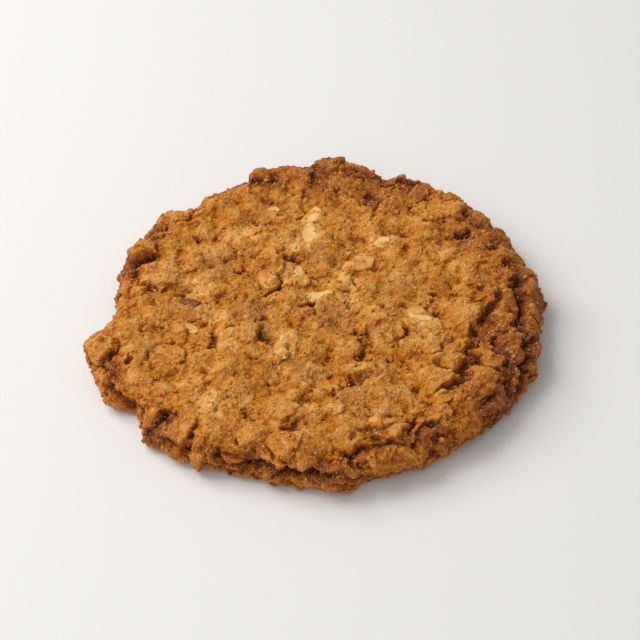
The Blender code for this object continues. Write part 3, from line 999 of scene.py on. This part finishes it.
def make_crumbs(number, count, smallest, largest, stand, rim_share, levels, crust):
    """Loose crumbs of one size range pressed into the crust, as one piece."""
    draw = np.random.default_rng(CRUMB_SEED + number)
    spots, normals, rim = crust["places"], crust["normals"], crust["browning"]
    rim_spots = np.nonzero((rim > CRUMB_RIM) & (spots[:, 2] > CRUMB_LOWEST))[0]
    top_spots = np.nonzero(rim <= CRUMB_RIM)[0]
    rim_count = int(count * rim_share)
    at_rim = draw.choice(rim_spots, rim_count)
    on_top = draw.choice(top_spots, count - rim_count)
    chosen = np.concatenate([at_rim, on_top])
    ball, ball_faces = ball_of_triangles(levels)
    size = smallest + (largest - smallest) * draw.random(count) ** 2
    stretch = draw.uniform(*CRUMB_STRETCH, (count, 3)) * size[:, None]
    ragged = 1 + draw.uniform(-CRUMB_RAGGED, CRUMB_RAGGED, (count, len(ball), 1))
    spin = draw.normal(size=(count, 3, 3))
    turned, _ = np.linalg.qr(spin)
    shaped = ball * ragged * stretch[:, None, :]
    points = np.einsum("nij,nkj->nki", turned, shaped)
    points += (spots[chosen] + normals[chosen] * (size * stand)[:, None])[:, None, :]
    points[..., 2] = np.maximum(points[..., 2], LOWEST)
    faces = ball_faces[None] + (np.arange(count) * len(ball))[:, None, None]
    name = f"crumbs_{number + 1}"
    mesh = bpy.data.meshes.new(name)
    mesh.from_pydata(points.reshape(-1, 3).tolist(), [], faces.reshape(-1, 3).tolist())
    mesh.shade_smooth()
    add_attribute(mesh, "tone", np.repeat(draw.random(count), len(ball)))
    add_attribute(mesh, "browning", np.repeat(rim[chosen], len(ball)))
    return add_object(name, mesh)


def add_object(name, mesh):
    """Put a mesh in the scene under a name."""
    piece = bpy.data.objects.new(name, mesh)
    bpy.context.scene.collection.objects.link(piece)
    return piece


class NodeGraph:
    """Short ways to add the nodes of one material."""

    def __init__(self, name):
        self.material = bpy.data.materials.new(name)
        self.material.use_nodes = True
        self.tree = self.material.node_tree
        self.shader = self.tree.nodes["Principled BSDF"]

    def link(self, source, target):
        """Feed a socket from another node's output."""
        self.tree.links.new(source, target)

    def feed(self, socket, value):
        """Give a socket a plain value, or link it to another node's output."""
        if isinstance(value, (int, float, tuple)):
            socket.default_value = value
        else:
            self.link(value, socket)

    def set(self, name, value):
        """Give the shader's own socket a plain value or another node's output."""
        self.feed(self.shader.inputs[name], value)

    def set_roughness(self, size, low, high):
        """Let the roughness wander between two values, by noise of one size."""
        self.set("Roughness", self.map_range(self.noise(size), 0.35, 0.65, low, high))

    def place(self):
        """Place in the object, in metres."""
        if not hasattr(self, "coordinates"):
            self.coordinates = self.tree.nodes.new("ShaderNodeTexCoord")
        return self.coordinates.outputs["Object"]

    def attribute(self, name):
        """A number kept with each vertex of the mesh."""
        node = self.tree.nodes.new("ShaderNodeAttribute")
        node.attribute_name = name
        return node.outputs["Fac"]

    def noise(self, size, detail=4.0, roughness=0.55):
        """Cloudy noise whose largest clouds have one size."""
        node = self.tree.nodes.new("ShaderNodeTexNoise")
        node.inputs["Scale"].default_value = 1 / size
        node.inputs["Detail"].default_value = detail
        node.inputs["Roughness"].default_value = roughness
        self.link(self.place(), node.inputs["Vector"])
        return node.outputs["Fac"]

    def cells(self, size):
        """Distance to the nearest of many scattered points, which makes round pimples."""
        node = self.tree.nodes.new("ShaderNodeTexVoronoi")
        node.inputs["Scale"].default_value = 1 / size
        self.link(self.place(), node.inputs["Vector"])
        return node.outputs["Distance"]

    def map_range(self, value, low, high, out_low=0.0, out_high=1.0):
        """A value spread from one range to another, and held within it."""
        node = self.tree.nodes.new("ShaderNodeMapRange")
        self.link(value, node.inputs["Value"])
        limits = {"From Min": low, "From Max": high, "To Min": out_low, "To Max": out_high}
        for name, number in limits.items():
            node.inputs[name].default_value = number
        return node.outputs["Result"]

    def math(self, operation, first, second):
        """One sum or product; each side is a number or another node's output."""
        node = self.tree.nodes.new("ShaderNodeMath")
        node.operation = operation
        self.feed(node.inputs[0], first)
        self.feed(node.inputs[1], second)
        return node.outputs["Value"]

    def mix(self, share, first, second):
        """Blend of two colours; each is four numbers or another node's output."""
        node = self.tree.nodes.new("ShaderNodeMix")
        node.data_type = "RGBA"
        for name, value in (("Factor_Float", share), ("A_Color", first), ("B_Color", second)):
            self.feed(next(s for s in node.inputs if s.identifier == name), value)
        return next(s for s in node.outputs if s.identifier == "Result_Color")

    def colour_ramp(self, value, stops):
        """Colour that a value picks from a row of places and colours."""
        node = self.tree.nodes.new("ShaderNodeValToRGB")
        self.link(value, node.inputs["Fac"])
        elements = node.color_ramp.elements
        while len(elements) < len(stops):
            elements.new(1.0)
        for element, (place, colour) in zip(elements, stops):
            element.position = place
            element.color = colour
        return node.outputs["Color"]

    def bump(self, height, distance, normal=None):
        """Bumps of a height in metres, on top of others if they are given."""
        node = self.tree.nodes.new("ShaderNodeBump")
        node.inputs["Distance"].default_value = distance
        self.link(height, node.inputs["Height"])
        if normal is not None:
            self.link(normal, node.inputs["Normal"])
        return node.outputs["Normal"]


def weighted_sum(graph, base, terms):
    """A base number plus each term times its weight."""
    total = base
    for value, weight in terms:
        total = graph.math("ADD", graph.math("MULTIPLY", value, weight), total)
    return total


def crust_material():
    """Baked dough: sugary golden lumps with glassy amber dough between them, a redder rim and fine grain,
    with painted shade in hollows, ditches, creases, pits, on steep sides and in darker rim patches, and
    painted glints on the lumps.
    """
    graph = NodeGraph("baked_dough")
    # Fields of hollows and steep sides, which darken the colour as painted shade
    hollow = graph.attribute("hollow")
    wide = graph.attribute("wide_hollow")
    mound = graph.attribute("mound")
    steep = graph.attribute("steep")
    shared = (
        (graph.noise(0.010, 8.0, 0.70), 0.80),
        (graph.noise(0.0020, 3.0, 0.6), 0.30),
        (graph.attribute("browning"), 0.12),
        # Darker rim patches: baking, and partly painted shade
        (graph.attribute("baked"), 0.28),
    )
    # Hollows, steep sides and ditches darken both kinds of dough: painted shade
    top_terms = (*shared, (hollow, 0.14), (wide, 0.08), (steep, 0.22), (graph.attribute("tone"), 0.36))
    top = graph.colour_ramp(weighted_sum(graph, SUGARY_BASE, top_terms), SUGARY_COLOURS)
    low_terms = (*shared, (hollow, 0.14), (wide, 0.05), (steep, 0.20), (graph.attribute("ditch"), 0.15))
    low = graph.colour_ramp(weighted_sum(graph, GLASSY_BASE, low_terms), GLASSY_COLOURS)
    top = graph.mix(graph.math("MULTIPLY", graph.attribute("browning"), 0.25), top, RIM_TAN)
    # Rim patches are painted darker grey-brown, partly as painted shade
    top = graph.mix(graph.math("MULTIPLY", graph.attribute("baked"), 0.42), top, RIM_BROWN_SHADE)
    crusted = graph.map_range(graph.noise(0.0042, 3.0, 0.6), 0.42, 0.58, -0.3, 0.6)
    tone = graph.mix(weighted_sum(graph, crusted, ((mound, 0.5),)), low, top)
    tone = graph.mix(graph.math("MULTIPLY", graph.attribute("dull"), 0.6), tone, STRAW)
    pale = graph.map_range(graph.noise(0.0040, 4.0), 0.40, 0.55, 0.3, 0.9)
    tone = graph.mix(graph.math("MULTIPLY", graph.attribute("pale"), pale), tone, YELLOW)
    # The deepest hollows are painted near black: painted shade
    pit_shade = graph.map_range(graph.math("ADD", hollow, wide), 1.3, 2.0)
    tone = graph.mix(graph.math("MULTIPLY", pit_shade, 0.7), tone, PIT_SHADE)
    # Creases are painted dark caramel-brown: painted shade
    tone = graph.mix(graph.math("MULTIPLY", graph.attribute("crease"), 0.6), tone, CREASE_SHADE)
    # Pale specks on the lumps stand for glints: painted highlight
    painted_glints = graph.map_range(graph.noise(0.0011, 2.0, 0.6), 0.60, 0.68)
    painted_glints = graph.math("MULTIPLY", painted_glints, mound)
    tone = graph.mix(graph.math("MULTIPLY", painted_glints, 0.55), tone, GLINT_COLOUR)
    graph.set("Base Color", tone)
    finish_dough(graph)
    return graph.material


def finish_dough(graph):
    """Gloss, fine bumps and softness of the dough."""
    graph.set_roughness(0.0040, 0.30, 0.65)
    coarse = graph.bump(graph.noise(GRAIN[0], 5.0, 0.7), GRAIN[1])
    graph.set("Normal", graph.bump(graph.cells(PIMPLES[0]), PIMPLES[1], coarse))
    graph.set("Specular IOR Level", 0.18)
    graph.set("Subsurface Weight", SOFTNESS)
    graph.set("Subsurface Radius", SOFT_RADIUS)
    graph.set("Subsurface Scale", SOFT_REACH)


def crumb_material():
    """Loose crumbs, each baked to its own tone."""
    graph = NodeGraph("loose_crumbs")
    terms = (
        (graph.attribute("tone"), 0.35),
        (graph.attribute("browning"), 0.14),
        (graph.noise(0.0016, 3.0, 0.7), 0.60),
    )
    tone = graph.colour_ramp(weighted_sum(graph, CRUMB_BASE, terms), SUGARY_COLOURS)
    graph.set("Base Color", tone)
    finish_dough(graph)
    return graph.material


def almond_material():
    """Almond slices from cream to toasted, browner in patches, with a faint gloss."""
    graph = NodeGraph("almond")
    tone = graph.mix(graph.map_range(graph.attribute("tone"), 0.0, 0.4), CREAM, HONEY)
    tone = graph.mix(graph.map_range(graph.attribute("tone"), 0.4, 1.0), tone, TOAST)
    browned = graph.map_range(graph.noise(0.0035, 4.0, 0.6), 0.45, 0.65, 0.0, 0.75)
    tone = graph.mix(browned, tone, HONEY)
    specks = graph.map_range(graph.noise(0.0016, 3.0, 0.6), 0.55, 0.70, 0.0, 0.8)
    tone = graph.mix(specks, tone, TOAST)
    doughy = graph.map_range(graph.noise(0.0025, 3.0, 0.6), 0.35, 0.60, 0.2, 1.0)
    tone = graph.mix(graph.math("MULTIPLY", graph.attribute("edge"), doughy), tone, GOLD)
    graph.set("Base Color", tone)
    graph.set_roughness(0.003, 0.35, 0.60)
    graph.set("Normal", graph.bump(graph.noise(0.0013, 4.0, 0.6), 0.0004))
    graph.set("Specular IOR Level", 0.35)
    return graph.material


def skin_material():
    """Almond skin, red-brown and wrinkled, the darkest like dried fruit."""
    graph = NodeGraph("almond_skin")
    tone = graph.mix(graph.attribute("tone"), SKIN, DARK_SKIN)
    worn = graph.map_range(graph.noise(0.0018, 4.0, 0.6), 0.50, 0.70, 0.0, 0.6)
    tone = graph.mix(worn, tone, ORANGE)
    graph.set("Base Color", tone)
    graph.set_roughness(0.002, 0.35, 0.65)
    graph.set("Normal", graph.bump(graph.noise(0.0009, 3.0, 0.6), 0.0005))
    graph.set("Specular IOR Level", 0.4)
    return graph.material


def stage_material():
    """Matt off-white of the floor."""
    graph = NodeGraph("pale_floor")
    graph.set("Base Color", FLOOR_COLOUR)
    graph.set("Roughness", FLOOR_ROUGHNESS)
    return graph.material


def make_floor():
    """A wide pale floor just under the cookie."""
    mesh = bpy.data.meshes.new("floor")
    signs = ((-1, -1), (1, -1), (1, 1), (-1, 1))
    corners = [(x * FLOOR_REACH, y * FLOOR_REACH, -FLOOR_DROP) for x, y in signs]
    mesh.from_pydata(corners, [], [(0, 1, 2, 3)])
    mesh.materials.append(stage_material())
    floor = add_object("floor", mesh)


def add_lamp(name, place, power, colour):
    """A square soft light that faces the middle of the cookie."""
    lamp = bpy.data.lights.new(name, "AREA")
    lamp.size = LAMP_SIZE
    lamp.energy = power
    lamp.color = colour
    item = bpy.data.objects.new(name, lamp)
    item.location = place
    item.rotation_euler = (-Vector(place)).to_track_quat("-Z", "Y").to_euler()
    bpy.context.scene.collection.objects.link(item)


def make_light():
    """A soft key from the left, a weaker fill and a pale surround."""
    for lamp in LAMPS:
        add_lamp(*lamp)
    world = bpy.data.worlds.new("surround")
    world.use_nodes = True
    surround = world.node_tree.nodes["Background"]
    surround.inputs["Color"].default_value = SURROUND_COLOUR
    surround.inputs["Strength"].default_value = SURROUND_STRENGTH
    bpy.context.scene.world = world
    bpy.context.scene.view_settings.view_transform = "Standard"


def make_camera(middle):
    """The photograph's camera; the middle is the tables' place of the origin."""
    data = bpy.data.cameras.new("camera")
    data.lens = CAMERA_LENS
    data.sensor_width = SENSOR_WIDTH
    camera = bpy.data.objects.new("camera", data)
    aim = Matrix.Rotation(math.radians(90 - CAMERA_PITCH), 4, "X")
    roll = Matrix.Rotation(math.radians(CAMERA_ROLL), 4, "Z")
    camera.matrix_world = Matrix.Translation(Vector(CAMERA_PLACE) - Vector(middle)) @ aim @ roll
    bpy.context.scene.collection.objects.link(camera)
    bpy.context.scene.camera = camera


def finish(pieces, material):
    """Give pieces their material, and let them stand for the solid."""
    for piece in pieces:
        piece.data.materials.append(material)
        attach(piece, BODY)
        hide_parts(NODE)


def main():
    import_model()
    make_light()
    make_floor()
    crust = crust_shape(all_plates())
    tiles = make_crust(crust)
    make_camera(crust["middle"])
    crumbs = [make_crumbs(k, *sizes, crust) for k, sizes in enumerate(CRUMB_SIZES)]
    slices = [(x, y, a, b, ALMOND_THICKNESS, *rest) for x, y, a, b, *rest in ALMONDS]
    slivers = [(x, y, a, b, SKIN_THICKNESS, turn, 0, *rest) for x, y, a, b, turn, *rest in SKINS]
    almonds = make_toppings("almond_slices", slices, crust)
    skins = make_toppings("almond_skins", slivers, crust)
    finish([*tiles, make_base(crust)], crust_material())
    finish(crumbs, crumb_material())
    finish([almonds], almond_material())
    finish([skins], skin_material())


main()
